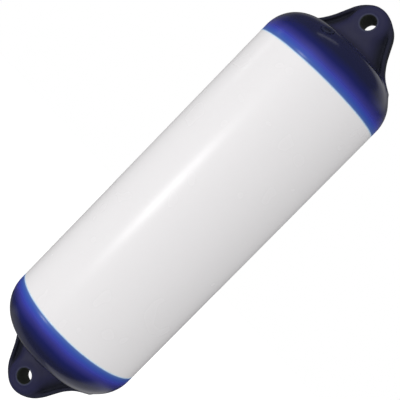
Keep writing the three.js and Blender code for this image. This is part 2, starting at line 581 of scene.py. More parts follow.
    def lug_outline(self, size: dict[str, Field], x: Field, z: Field) -> Field:
        """Distance to the lug's bell-shaped outline in its own plane.

        Args:
            size: The rule's sizes.
            x: Distance from the lug's middle line, without sign.
            z: Height.

        Returns:
            The distance, negative inside the outline.
        """
        sine = size["Flank angle"].math("SINE")
        cosine = size["Flank angle"].math("COSINE")
        from_tip = z - size["Tip height"]
        tip = span(x, from_tip)
        flank = x * cosine + from_tip * sine
        beyond = (x * sine - from_tip * cosine).above(0.0)
        straight = tip + (flank - tip) * beyond - size["Tip radius"]

        off_x = x - size["Fillet centre"]
        off_z = z - size["Fillet height"]
        hollow = size["Flank fillet"] - span(off_x, off_z)
        past_flank = (off_x * sine - off_z * cosine).above(0.0)
        outline = straight + (hollow - straight) * past_flank
        return outline.most(x - size["Lug foot"])

    def openings_rule(self, size: dict[str, Field], x: Field, y: Field, z: Field, solid: Field) -> Field:
        """Takes the eye's bore, the valve's hole and the air space out of the rope hold.

        Args:
            size: The rule's sizes.
            x: Position across the lug.
            y: Position along the eye's bore.
            z: Height.
            solid: Distance to the outside of the rope hold.

        Returns:
            The distance to the finished shape.
        """
        bore = span(x, z) - size["Bore radius"]
        radius = span(x, y)
        across = radius - size["Core"]
        above = z - size["Shoulder height"]
        round_part = span(across.most(0.0), above.most(0.0))
        dome_space = round_part + across.most(above).least(0.0) - size["Inner shoulder"]
        from_lap_top = z - size["Lap top height"]
        seat = radius - size["Lap top radius"] - from_lap_top * size["Lap slope"]
        under_top = (-from_lap_top).above(0.0)
        air_space = dome_space + (seat - dome_space) * under_top

        tilt = size["Valve tilt"]
        turn = size["Valve turn"]
        off_x = x * turn.math("COSINE") + y * turn.math("SINE")
        off_y = y * turn.math("COSINE") - x * turn.math("SINE") + size["Valve distance"]
        off_z = z - size["Valve height"]
        sideways = off_y * tilt.math("COSINE") + off_z * tilt.math("SINE")
        valve_hole = span(off_x, sideways) - size["Valve hole radius"]
        opened = solid.cut(bore, self.bore_easing).most(-air_space)
        return opened.cut(valve_hole, self.hole_easing)

    def tree(self) -> bpy.types.NodeTree:
        """Builds the tree that turns the rule into a mesh, once for both ends.

        Returns:
            The tree, with the sizes, the voxel and the material as named inputs.
        """
        known = bpy.data.node_groups.get("Rope hold")
        if known:
            return known
        tree = bpy.data.node_groups.new("Rope hold", "GeometryNodeTree")
        for name in [*self.rule_sizes(), "Voxel"]:
            tree.interface.new_socket(name, in_out="INPUT", socket_type="NodeSocketFloat")
        tree.interface.new_socket("Material", in_out="INPUT", socket_type="NodeSocketMaterial")
        tree.interface.new_socket("Geometry", in_out="OUTPUT", socket_type="NodeSocketGeometry")
        rule = self.rule()
        source = tree.nodes.new("NodeGroupInput")
        position = tree.nodes.new("GeometryNodeInputPosition").outputs[0]

        level = 0.5
        margin = 2 * self.voxel
        half = self.sizes.radius + margin
        low = Vector((-half, -half, self.cut_z - margin))
        high = Vector((half, half, self.boss_radius + margin))
        cube = tree.nodes.new("GeometryNodeVolumeCube")
        cube.inputs["Min"].default_value = low
        cube.inputs["Max"].default_value = high
        for axis, step in zip("XYZ", high - low):
            cube.inputs[f"Resolution {axis}"].default_value = round(step / self.voxel)
        inside = -self.probe(tree, rule, source, position) + level
        tree.links.new(inside.socket, cube.inputs["Density"])
        skin = tree.nodes.new("GeometryNodeVolumeToMesh")
        skin.resolution_mode = "VOXEL_SIZE"
        skin.inputs["Threshold"].default_value = level
        tree.links.new(cube.outputs[0], skin.inputs["Volume"])
        tree.links.new(source.outputs["Voxel"], skin.inputs["Voxel Size"])

        settled = self.settle(tree, rule, source, position, skin.outputs[0])
        scaled = tree.nodes.new("GeometryNodeTransform")
        scaled.inputs["Scale"].default_value = (MM, MM, MM)
        smooth = tree.nodes.new("GeometryNodeSetShadeSmooth")
        real = tree.nodes.new("GeometryNodeRealizeInstances")
        dressed = tree.nodes.new("GeometryNodeSetMaterial")
        sink = tree.nodes.new("NodeGroupOutput")
        chain = [settled, scaled, smooth, real, dressed]
        for first, second in zip(chain, chain[1:]):
            tree.links.new(first.outputs["Geometry"], second.inputs["Geometry"])
        tree.links.new(source.outputs["Material"], dressed.inputs["Material"])
        tree.links.new(dressed.outputs["Geometry"], sink.inputs["Geometry"])
        return tree

    def probe(self, tree: bpy.types.NodeTree, rule: bpy.types.NodeTree, source: bpy.types.Node,
              position: bpy.types.NodeSocket) -> Field:
        """Places the rule in the tree, fed with the tree's own sizes.

        Args:
            tree: The tree.
            rule: The rule's group.
            source: The tree's group input.
            position: Where the rule is asked.

        Returns:
            The distance there.
        """
        node = tree.nodes.new("GeometryNodeGroup")
        node.node_tree = rule
        tree.links.new(position, node.inputs["Position"])
        for name in self.rule_sizes():
            tree.links.new(source.outputs[name], node.inputs[name])
        return Field(tree, node.outputs["Distance"])

    def settle(self, tree: bpy.types.NodeTree, rule: bpy.types.NodeTree, source: bpy.types.Node,
               position: bpy.types.NodeSocket, skin: bpy.types.NodeSocket) -> bpy.types.Node:
        """Moves each point of the skin onto the rule's surface, along the slope of the distance.

        Args:
            tree: The tree.
            rule: The rule's group.
            source: The tree's group input.
            position: The points' positions.
            skin: The mesh.

        Returns:
            The node that moves the points.
        """
        corners = ((1, -1, -1), (-1, -1, 1), (-1, 1, -1), (1, 1, 1))
        slope = None
        distance = None
        for corner in corners:
            beside = tree.nodes.new("ShaderNodeVectorMath")
            beside.operation = "ADD"
            beside.inputs[1].default_value = Vector(corner) * self.probe_reach
            tree.links.new(position, beside.inputs[0])
            there = self.probe(tree, rule, source, beside.outputs[0])
            part = tree.nodes.new("ShaderNodeVectorMath")
            part.operation = "SCALE"
            part.inputs[0].default_value = corner
            tree.links.new(there.socket, part.inputs["Scale"])
            if slope is None:
                slope, distance = part.outputs[0], there
                continue
            total = tree.nodes.new("ShaderNodeVectorMath")
            total.operation = "ADD"
            tree.links.new(slope, total.inputs[0])
            tree.links.new(part.outputs[0], total.inputs[1])
            slope, distance = total.outputs[0], distance + there
        normal = tree.nodes.new("ShaderNodeVectorMath")
        normal.operation = "NORMALIZE"
        tree.links.new(slope, normal.inputs[0])
        limit = self.voxel / 2
        back = (distance * (-1 / len(corners))).most(-limit).least(limit)
        offset = tree.nodes.new("ShaderNodeVectorMath")
        offset.operation = "SCALE"
        tree.links.new(normal.outputs[0], offset.inputs[0])
        tree.links.new(back.socket, offset.inputs["Scale"])
        moved = tree.nodes.new("GeometryNodeSetPosition")
        tree.links.new(skin, moved.inputs["Geometry"])
        tree.links.new(offset.outputs[0], moved.inputs["Offset"])
        return moved

    def grown(self) -> bmesh.types.BMesh:
        """Runs the tree on an empty mesh.

        Returns:
            The rope hold in its own frame, eye up, still closed below the cut.
        """
        seed = bpy.data.objects.new("rope_hold_seed", bpy.data.meshes.new("rope_hold_seed"))
        bpy.context.scene.collection.objects.link(seed)
        modifier = seed.modifiers.new("Rope hold", "NODES")
        modifier.node_group = self.tree()
        values = {**self.rule_sizes(), "Voxel": self.voxel, "Material": self.finish}
        for item in modifier.node_group.interface.items_tree:
            if item.in_out == "INPUT":
                modifier[item.identifier] = values[item.name]
        bpy.context.view_layer.update()
        depsgraph = bpy.context.evaluated_depsgraph_get()
        mesh = bpy.data.meshes.new_from_object(seed.evaluated_get(depsgraph), depsgraph=depsgraph)
        bm = bmesh.new()
        bm.from_mesh(mesh)
        seed.modifiers.clear()
        bpy.data.objects.remove(seed)
        bpy.data.meshes.remove(mesh)
        return bm

    def close_skirt(self, bm: bmesh.types.BMesh) -> None:
        """Cuts the rope hold level and runs its wall down to the thin edge at the colour line.

        Args:
            bm: The rope hold in its own frame.
        """
        everything = bm.verts[:] + bm.edges[:] + bm.faces[:]
        bmesh.ops.bisect_plane(bm, geom=everything, dist=WELD, plane_co=(0.0, 0.0, self.cut_z * MM),
                               plane_no=(0.0, 0.0, -1.0), clear_outer=True)
        rim = [v for v in bm.verts if v.is_boundary]
        middle = (self.sizes.radius + self.sizes.lap_radius(self.cut_z)) / 2 * MM
        outer = [v for v in rim if v.co.xy.length > middle]
        inner = [v for v in rim if v.co.xy.length <= middle]
        edge = self.sizes.colour_line_z
        steps = [(self.sizes.radius, edge + self.skirt_easing),
                 (self.sizes.radius - self.skirt_easing, edge)]
        for radius, z in steps:
            outer = self.next_ring(bm, outer, radius, z)
        inner = self.next_ring(bm, inner, self.sizes.lap_edge_radius, edge)
        zip_rings(bm, outer, inner)

    @staticmethod
    def next_ring(bm: bmesh.types.BMesh, ring: list[bmesh.types.BMVert], radius: float,
                  z: float) -> list[bmesh.types.BMVert]:
        """Extrudes an open ring of points about Z to another radius and height.

        Args:
            bm: The mesh.
            ring: The points of the open edge.
            radius: Radius of the new ring in millimetres.
            z: Height of the new ring in millimetres.

        Returns:
            The new ring's points.
        """
        known = set(ring)
        open_edges = [edge for vert in ring for edge in vert.link_edges if edge.is_boundary]
        edges = [edge for edge in open_edges if known.issuperset(edge.verts)]
        made = bmesh.ops.extrude_edge_only(bm, edges=list(dict.fromkeys(edges)))["geom"]
        points = [item for item in made if isinstance(item, bmesh.types.BMVert)]
        for vert in points:
            flat = vert.co.xy.normalized() * radius * MM
            vert.co = (flat.x, flat.y, z * MM)
        return points

    def build(self) -> bpy.types.Object:
        """Makes the rope hold in its place on the fender.

        Returns:
            The finished piece.
        """
        bm = self.grown()
        self.close_skirt(bm)
        bmesh.ops.recalc_face_normals(bm, faces=bm.faces)
        bm.transform(place(self.end, self.sizes))
        piece = object_from(bm, self.name, self.finish, sharp=50)
        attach(piece, BODY)
        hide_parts(self.end.value)
        return piece


@dataclass
class AirBody:
    """The white body: a long tube whose ends taper and run up inside the blue ends."""

    sizes: FenderSizes
    finish: bpy.types.Material
    segments: int = 256
    rings: int = 48
    seam: float = 0.05
    easing: float = 0.2

    def outline(self) -> Ring:
        """Lists the tube's section, from the lower end up its outside and back down its inside.

        Returns:
            Points of radius and height in millimetres.
        """
        s = self.sizes
        top = s.colour_line_z - self.seam
        tip = s.lap_radius(s.lap_top_z) - s.fuse_gap
        heights = np.linspace(s.middle_z, top - self.easing, self.rings // 2 + 1)
        outside = [(s.radius, z) for z in heights]
        outside += [
            (s.radius - self.easing, top),
            (s.lap_edge_radius - s.fuse_gap, top),
            (tip, s.lap_top_z),
        ]
        inside = [
            (tip - s.body_end_wall, s.lap_top_z),
            (s.radius - s.body_wall, top - s.body_wall),
        ]
        below_out = [(radius, 2 * s.middle_z - z) for radius, z in outside[1:]][::-1]
        below_in = [(radius, 2 * s.middle_z - z) for radius, z in inside][::-1]
        return [*below_out, *outside, *inside, *below_in]

    def build(self) -> bpy.types.Object:
        """Makes the body.

        Returns:
            The finished piece.
        """
        piece = object_from(revolved(self.outline(), self.segments), "white_body", self.finish, sharp=35)
        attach(piece, BODY)
        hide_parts("body_shell")
        return piece


@dataclass
class AirValve:
    """The valve on the upper shoulder: a soft sleeve and the slotted screw that closes it."""

    sizes: FenderSizes
    sleeve_finish: bpy.types.Material
    screw_finish: bpy.types.Material
    sleeve_depth: float = 12.0
    proud: float = 0.4
    head_diameter: float = 6.4
    head_height: float = 1.6
    screw_diameter: float = 4.0
    screw_length: float = 8.0
    slot_width: float = 1.0
    slot_depth: float = 0.9
    gap: float = 0.3
    rounding: float = 0.4
    rim_steps: int = 6
    lead_in_steps: int = 4
    segments: int = 96

    def seat(self) -> Matrix:
        """Gives the valve's place on the shoulder.

        Returns:
            A rigid transform in metres from the valve's own frame, its axis along Z.
        """
        angle = math.radians(self.sizes.valve_tilt)
        radius = self.sizes.core + self.sizes.shoulder_radius * math.sin(angle)
        z = self.sizes.shoulder_z + self.sizes.shoulder_radius * math.cos(angle)
        stand = Matrix.Translation((0.0, -radius * MM, z * MM)) @ Matrix.Rotation(angle, 4, "X")
        return Matrix.Rotation(math.radians(self.sizes.valve_turn), 4, "Z") @ stand

    def build(self) -> list[bpy.types.Object]:
        """Makes the sleeve and the screw.

        Returns:
            The two finished pieces.
        """
        return [self.sleeve(), self.screw()]

    def sleeve(self) -> bpy.types.Object:
        """Makes the sleeve, with a rounded rim and a counterbore for the screw's head.

        Returns:
            The finished piece.
        """
        outer = self.sizes.valve_sleeve / 2
        seat = self.head_diameter / 2 + self.gap
        bore = self.screw_diameter / 2 + self.gap
        seat_z = self.proud - self.head_height
        turn = self.rounding
        profile = [
            (bore, -self.sleeve_depth),
            (outer - turn, -self.sleeve_depth),
            (outer, turn - self.sleeve_depth),
            *arc((outer - turn, self.proud - turn), turn, 0, 90, self.rim_steps),
            *arc((seat + turn / 2, self.proud - turn / 2), turn / 2, 90, 180, self.lead_in_steps),
            (seat, seat_z),
            (bore, seat_z),
        ]
        bm = revolved(profile, self.segments)
        bm.transform(self.seat())
        piece = object_from(bm, "valve_sleeve", self.sleeve_finish, sharp=50)
        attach(piece, BODY)
        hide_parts("valve_insert")
        return piece

    def screw(self) -> bpy.types.Object:
        """Makes the screw, its head flush with the sleeve and cut with a slot.

        Returns:
            The finished piece.
        """
        head = self.head_diameter / 2
        shank = self.screw_diameter / 2
        seat_z = self.proud - self.head_height + self.gap
        turn = self.rounding
        profile = [
            (0.0, seat_z - self.screw_length),
            (shank - turn, seat_z - self.screw_length),
            (shank, seat_z - self.screw_length + turn),
            (shank, seat_z),
            (head, seat_z),
            *arc((head - turn, self.proud - turn), turn, 0, 90, self.rim_steps),
            (0.0, self.proud),
        ]
        blank = object_from(revolved(profile, self.segments), "screw_blank", self.screw_finish, sharp=50)
        cutter_mesh = bmesh.new()
        bmesh.ops.create_cube(cutter_mesh, size=1.0)
        slot = Vector((2 * self.head_diameter, self.slot_width, 2 * self.slot_depth)) * MM
        cutter_mesh.transform(Matrix.Diagonal((*slot, 1.0)))
        cutter_mesh.transform(Matrix.Translation((0.0, 0.0, self.proud * MM)))
        cutter = object_from(cutter_mesh, "screw_slot", self.screw_finish, sharp=50)
        cut = blank.modifiers.new("Slot", "BOOLEAN")
        cut.object = cutter
        cut.operation = "DIFFERENCE"
        cut.solver = "EXACT"
        depsgraph = bpy.context.evaluated_depsgraph_get()
        bm = bmesh.new()
        bm.from_object(blank, depsgraph)
        bpy.data.objects.remove(blank)
        bpy.data.objects.remove(cutter)
        bmesh.ops.remove_doubles(bm, verts=bm.verts, dist=WELD)
        bm.transform(self.seat())
        piece = object_from(bm, "valve_screw_head", self.screw_finish, sharp=40)
        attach(piece, BODY)
        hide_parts("valve_screw")
        return piece


# Finishes


@dataclass(frozen=True)
class Shader:
    """A node tree under construction, for a material, the world or a shader group."""

    tree: bpy.types.NodeTree

    def add(self, kind: str, inputs: dict[str | int, object] | None = None,
            **settings: object) -> bpy.types.Node:
        """Adds a node.

        Args:
            kind: The node's type.
            inputs: A value or a socket for each of its inputs.
            settings: Its properties.

        Returns:
            The node.
        """
        node = self.tree.nodes.new(kind)
        for name, value in settings.items():
            setattr(node, name, value)
        for name, value in (inputs or {}).items():
            if isinstance(value, bpy.types.NodeSocket):
                self.tree.links.new(value, node.inputs[name])
            else:
                node.inputs[name].default_value = value
        return node

    def value(self, operation: str, *operands: object) -> bpy.types.NodeSocket:
        """Adds a Math node.

        Args:
            operation: The node's operation.
            operands: Numbers or sockets.

        Returns:
            Its result.
        """
        return self.add("ShaderNodeMath", dict(enumerate(operands)), operation=operation).outputs[0]

    def fade(self, value: bpy.types.NodeSocket, start: float, full: float) -> bpy.types.NodeSocket:
        """Rises from zero at one value to one at another, of which either may be the larger."""
        limits = {"Value": value, "From Min": start, "From Max": full}
        return self.add("ShaderNodeMapRange", limits).outputs[0]

    def between(self, share: bpy.types.NodeSocket, low: float, high: float) -> bpy.types.NodeSocket:
        """Turns a share from zero to one into a number between two limits."""
        limits = {"Value": share, "To Min": low, "To Max": high}
        return self.add("ShaderNodeMapRange", limits).outputs[0]

    def blend(self, factor: object, first: object, second: object) -> bpy.types.NodeSocket:
        """Mixes two numbers, with the factor as the share of the second."""
        return self.add("ShaderNodeMix", {0: factor, 2: first, 3: second}).outputs[0]

    def ramp(self, factor: bpy.types.NodeSocket,
             stops: list[tuple[float, Colour]]) -> bpy.types.NodeSocket:
        """Adds a colour ramp.

        Args:
            factor: Where on the ramp.
            stops: Places from 0 to 1 with their colours.

        Returns:
            The ramp's colour.
        """
        node = self.add("ShaderNodeValToRGB", {"Fac": factor})
        elements = node.color_ramp.elements
        while len(elements) < len(stops):
            elements.new(1.0)
        for element, (place_on_ramp, colour) in zip(elements, stops):
            element.position = place_on_ramp
            element.color = (*colour, 1.0)
        return node.outputs["Color"]

    def mix(self, factor: object, first: object, second: object) -> bpy.types.NodeSocket:
        """Mixes two colours.

        Args:
            factor: Share of the second colour.
            first: A colour or a socket.
            second: A colour or a socket.

        Returns:
            The mixed colour.
        """
        node = self.add("ShaderNodeMix", data_type="RGBA")
        for slot, value in zip((0, 6, 7), (factor, first, second)):
            if isinstance(value, bpy.types.NodeSocket):
                self.tree.links.new(value, node.inputs[slot])
            else:
                node.inputs[slot].default_value = value if slot == 0 else (*value, 1.0)
        return node.outputs[2]


def shader_group(name: str, inputs: dict[str, float],
                 outputs: list[str]) -> tuple[Shader, dict[str, bpy.types.NodeSocket], bpy.types.Node]:
    """Starts a shader group of number sockets.

    Args:
        name: The group's name.
        inputs: Its inputs with their default values.
        outputs: Its outputs.

    Returns:
        The tree under construction, its input sockets by name and its output node.
    """
    tree = bpy.data.node_groups.new(name, "ShaderNodeTree")
    for label, value in inputs.items():
        socket = tree.interface.new_socket(label, in_out="INPUT", socket_type="NodeSocketFloat")
        socket.default_value = value
    for label in outputs:
        tree.interface.new_socket(label, in_out="OUTPUT", socket_type="NodeSocketFloat")
    source = tree.nodes.new("NodeGroupInput")
    sink = tree.nodes.new("NodeGroupOutput")
    return Shader(tree), {label: source.outputs[label] for label in inputs}, sink


def moulded_relief() -> bpy.types.NodeTree:
    """Builds the shader group for the skin that soft vinyl keeps from its mould.

    Returns:
        A group that puts out the height of a fine orange peel over a slow waviness, and that waviness alone
        as a mottle from 0 to 1.
    """
    known = bpy.data.node_groups.get("Moulded relief")
    if known:
        return known
    sizes = {"Peel size": 1.6, "Wave size": 22.0, "Wave share": 0.5}
    shader, given, sink = shader_group("Moulded relief", sizes, ["Height", "Mottle"])
    place_on_piece = shader.add("ShaderNodeTexCoord").outputs["Object"]
    layers = []
    for label, detail in (("Peel size", 2.0), ("Wave size", 1.0)):
        frequency = shader.value("DIVIDE", 1 / MM, given[label])
        noise = shader.add("ShaderNodeTexNoise",
                           {"Vector": place_on_piece, "Scale": frequency, "Detail": detail})
        layers.append(noise.outputs["Fac"])
    peel, waves = layers
    height = shader.blend(given["Wave share"], peel, waves)
    shader.tree.links.new(height, sink.inputs["Height"])
    shader.tree.links.new(waves, sink.inputs["Mottle"])
    return shader.tree


def colour_line() -> bpy.types.NodeTree:
    """Builds the shader group that measures how far a point is past the nearer colour line.

    Returns:
        A group that puts out millimetres, positive on the blue side.
    """
    known = bpy.data.node_groups.get("Colour line")
    if known:
        return known
    sizes = {"Middle height": 0.0, "White length": 0.0, "Wander": 0.3}
    shader, given, sink = shader_group("Colour line", sizes, ["Distance"])
    place_on_piece = shader.add("ShaderNodeTexCoord").outputs["Object"]
    height = shader.add("ShaderNodeSeparateXYZ", {0: place_on_piece}).outputs["Z"]
    along = shader.value("MULTIPLY", height, 1 / MM)
    from_middle = shader.value("ABSOLUTE", shader.value("SUBTRACT", along, given["Middle height"]))
    distance = shader.value("SUBTRACT", from_middle, shader.value("MULTIPLY", given["White length"], 0.5))
    wander_scale = 60.0
    noise = shader.add("ShaderNodeTexNoise",
                       {"Vector": place_on_piece, "Scale": wander_scale, "Detail": 2.0})
    wander = shader.value("MULTIPLY", shader.value("SUBTRACT", noise.outputs["Fac"], 0.5), given["Wander"])
    shader.tree.links.new(shader.value("ADD", distance, wander), sink.inputs["Distance"])
    return shader.tree


@dataclass(frozen=True)
class VinylSkin:
    """Relief that a vinyl surface keeps from its mould."""

    peel_size: float
    wave_size: float
    wave_share: float
    depth: float

    def add(self, shader: Shader) -> tuple[bpy.types.NodeSocket, bpy.types.NodeSocket]:
        """Adds the relief to a material.

        Args:
            shader: The material's tree.

        Returns:
            The bumped normal and the slow mottle.
        """
        relief = shader.add("ShaderNodeGroup", node_tree=moulded_relief())
        relief.inputs["Peel size"].default_value = self.peel_size
        relief.inputs["Wave size"].default_value = self.wave_size
        relief.inputs["Wave share"].default_value = self.wave_share
        bump = shader.add("ShaderNodeBump", {"Height": relief.outputs["Height"], "Strength": 1.0,
                                             "Distance": self.depth * MM})
        return bump.outputs["Normal"], relief.outputs["Mottle"]


def new_material(name: str) -> tuple[bpy.types.Material, Shader, bpy.types.Node]:
    """Starts a material with its Principled shader.

    Args:
        name: The material's name.

    Returns:
        The material, its tree under construction and the Principled node.
    """
    material = bpy.data.materials.new(name)
    material.use_nodes = True
    material.node_tree.nodes.clear()
    shader = Shader(material.node_tree)
    principled = shader.add("ShaderNodeBsdfPrincipled")
    output = shader.add("ShaderNodeOutputMaterial")
    material.node_tree.links.new(principled.outputs["BSDF"], output.inputs["Surface"])
    return material, shader, principled


def dress(principled: bpy.types.Node, colour: bpy.types.NodeSocket, roughness: bpy.types.NodeSocket,
          normal: bpy.types.NodeSocket) -> None:
    """Feeds a material's Principled shader.

    Args:
        principled: The shader.
        colour: What its colour comes from.
        roughness: What its roughness comes from.
        normal: The bumped normal.
    """
    for label, socket in (("Base Color", colour), ("Roughness", roughness), ("Normal", normal)):
        principled.id_data.links.new(socket, principled.inputs[label])


@dataclass(frozen=True)
class WhiteVinyl:
    """Glossy white vinyl, with a breath of blue where the skirt's thin edge begins."""

    sizes: FenderSizes
    colour: Colour = (0.791, 0.777, 0.785)
    shade: Colour = (0.784, 0.770, 0.778)
    edge_tint: Colour = (0.64, 0.78, 0.90)
    edge_reach: float = 1.8
    roughness: tuple[float, float] = (0.22, 0.30)
    skin: VinylSkin = VinylSkin(peel_size=2.2, wave_size=26.0, wave_share=0.6, depth=0.05)

    def material(self) -> bpy.types.Material:
        """Builds the finish.

        Returns:
            The material.
        """
        material, shader, principled = new_material("White vinyl")
        normal, mottle = self.skin.add(shader)
        body = shader.mix(mottle, self.colour, self.shade)
        distance = line_distance(shader, self.sizes)
        tint = shader.value("POWER", shader.fade(distance, -self.edge_reach, 0.0), 2.0)
        colour = shader.mix(tint, body, self.edge_tint)
        dress(principled, colour, shader.between(mottle, *self.roughness), normal)
        return material


def line_distance(shader: Shader, sizes: FenderSizes) -> bpy.types.NodeSocket:
    """Adds the distance past the colour line to a material.

    Args:
        shader: The material's tree.
        sizes: The fender's sizes.

    Returns:
        The distance in millimetres, positive on the blue side.
    """
    node = shader.add("ShaderNodeGroup", node_tree=colour_line())
    node.inputs["Middle height"].default_value = sizes.middle_z
    node.inputs["White length"].default_value = sizes.white_length
    return node.outputs["Distance"]


def lug_frame(shader: Shader, sizes: FenderSizes) -> dict[str, bpy.types.NodeSocket]:
    """Finds where a point lies in the lug at its end of the fender.

    Args:
        shader: The material's tree.
        sizes: The fender's sizes.

    Returns:
        Metres "across" the lug, "through" its thickness and "out" from its eye's centre.
    """
    spot = shader.add("ShaderNodeTexCoord").outputs["Object"]
    parts = shader.add("ShaderNodeSeparateXYZ", {0: spot}).outputs
    half_spacing = sizes.eye_spacing / 2 * MM
    above_middle = shader.value("ADD", parts["Z"], half_spacing)
    is_upper = shader.value("GREATER_THAN", above_middle, 0.0)
    turn = math.radians(sizes.lower_turn)
    across = shader.value("MULTIPLY", parts["Y"], math.sin(turn))
    across = shader.value("MULTIPLY_ADD", parts["X"], math.cos(turn), across)
    through = shader.value("MULTIPLY", parts["X"], -math.sin(turn))
    through = shader.value("MULTIPLY_ADD", parts["Y"], math.cos(turn), through)
    return {
        "across": shader.blend(is_upper, across, parts["X"]),
        "through": shader.blend(is_upper, through, parts["Y"]),
        "out": shader.value("SUBTRACT", shader.value("ABSOLUTE", above_middle), half_spacing),
    }


def eye_mask(shader: Shader, sizes: FenderSizes, lug: dict[str, bpy.types.NodeSocket],
             width: float) -> bpy.types.NodeSocket:
    """Finds what lies within the eyes' bores or near them.

    Args:
        shader: The material's tree.
        sizes: The fender's sizes.
        lug: Where the point lies in its lug.
        width: Millimetres from the bore's wall to the mask's edge.

    Returns:
        One near the bores' axes and zero beyond the width.
    """
    square = shader.value("MULTIPLY", lug["out"], lug["out"])
    radius = shader.value("SQRT", shader.value("MULTIPLY_ADD", lug["across"], lug["across"], square))
    edge = (sizes.eye_bore / 2 + width) * MM
    softness = 0.2 * MM
    return shader.fade(radius, edge + softness, edge - softness)


@dataclass(frozen=True)
class BlueVinyl:
    """Glossy blue vinyl that is clear enough for the white under its thin skirt to show through."""

    sizes: FenderSizes
    reach: float = 54.0
    skirt_roughness: float = 0.28
    skirt_reach: float = 16.0
    roughness: tuple[float, float] = (0.12, 0.20)
    lug_roughness: float = 0.55
    lug_start: float = 44.0
    lug_full: float = 52.0
    # Painted shade: a darker navy painted into the lug's pockets on both sides of its middle, standing in for
    # the shade that falls in them.
    painted_recess_shade: Colour = (0.009, 0.011, 0.026)
    recess_roughness: float = 0.85
    recess_floor: float = 4.5
    recess_brim: float = 12.5
    # Painted highlight: a paler ring round each eye's mouth, standing in for the light that the lip's bevel
    # catches.
    wear_and_highlight: Colour = (0.034, 0.038, 0.09)
    highlight_width: float = 1.8
    # Painted reflection: the bore's wall is coloured dark grey-green in place of the navy vinyl, standing in
    # for the dim reflection seen in it at a grazing angle.
    bore: Colour = (0.04, 0.048, 0.04)
    bore_skin: float = 0.3
    bore_roughness: float = 0.75
    blotch: float = 3.0
    blotch_full: float = 8.0
    skin: VinylSkin = VinylSkin(peel_size=2.6, wave_size=30.0, wave_share=0.7, depth=0.05)

    def stops(self) -> list[tuple[float, Colour]]:
        """Lists the colours that the growing thickness gives.

        Returns:
            Millimetres past the colour line with a colour each.
        """
        return [
            (0.0, (0.66, 0.82, 0.95)),
            (0.5, (0.24, 0.38, 0.64)),
            (1.2, (0.062, 0.128, 0.40)),
            (4.0, (0.030, 0.082, 0.42)),
            (8.0, (0.034, 0.045, 0.375)),
            (12.0, (0.031, 0.031, 0.22)),
            (18.0, (0.010, 0.013, 0.10)),
            (26.0, (0.011, 0.013, 0.046)),
            (46.0, (0.013, 0.014, 0.042)),
            (54.0, (0.014, 0.014, 0.070)),
        ]

    def material(self) -> bpy.types.Material:
        """Builds the finish.

        Returns:
            The material.
        """
        material, shader, principled = new_material("Blue vinyl")
        normal, mottle = self.skin.add(shader)
        distance = line_distance(shader, self.sizes)
        uneven = shader.value("MULTIPLY", shader.value("SUBTRACT", mottle, 0.5), self.blotch)
        past_edge = shader.value("MINIMUM", shader.value("DIVIDE", distance, self.blotch_full), 1.0)
        thickness = shader.value("ADD", distance, shader.value("MULTIPLY", uneven, past_edge))
        factor = shader.value("DIVIDE", thickness, self.reach)
        stops = [(place_in_mm / self.reach, colour) for place_in_mm, colour in self.stops()]
        lug = lug_frame(shader, self.sizes)
        on_lug = shader.fade(distance, self.lug_start, self.lug_full)
        from_middle = shader.value("ABSOLUTE", lug["through"])
        # Painted shade: the mask of the lug's pockets, where the darker pocket colour stands in for the shade
        # in them.
        deep = shader.fade(from_middle, self.recess_brim * MM, self.recess_floor * MM)
        deep = shader.value("MULTIPLY", deep, on_lug)
        # Painted reflection on the bore's wall, which is also made matt there.
        bore_wall = eye_mask(shader, self.sizes, lug, self.bore_skin)
        # Painted highlight: the paler ring round the eye's mouth, just outside its bore wall.
        lip_highlight = eye_mask(shader, self.sizes, lug, self.highlight_width)
        lip_highlight = shader.value("MULTIPLY", lip_highlight, shader.value("SUBTRACT", 1.0, bore_wall))
        colour = shader.mix(deep, shader.ramp(factor, stops), self.painted_recess_shade)
        colour = shader.mix(lip_highlight, colour, self.wear_and_highlight)
        colour = shader.mix(bore_wall, colour, self.bore)
        on_skirt = shader.fade(distance, self.skirt_reach, self.skirt_reach / 2)
        rough = shader.between(mottle, *self.roughness)
        zones = ((on_skirt, self.skirt_roughness), (on_lug, self.lug_roughness),
                 (deep, self.recess_roughness), (bore_wall, self.bore_roughness))
        for mask, roughness in zones:
            rough = shader.blend(mask, rough, roughness)
        dress(principled, colour, rough, normal)
        return material


@dataclass(frozen=True)
class DarkMoulding:
    """Dark moulded plastic of the valve's small parts, with slightly paler worn patches."""

    name: str
    colour: Colour
    wear_and_highlight: Colour
    roughness: tuple[float, float]
    skin: VinylSkin = VinylSkin(peel_size=0.5, wave_size=3.0, wave_share=0.4, depth=0.02)

    def material(self) -> bpy.types.Material:
        """Builds the finish.

        Returns:
            The material.
        """
        material, shader, principled = new_material(self.name)
        normal, mottle = self.skin.add(shader)
        colour = shader.mix(mottle, self.colour, self.wear_and_highlight)
        dress(principled, colour, shader.between(mottle, *self.roughness), normal)
        return material


# Studio


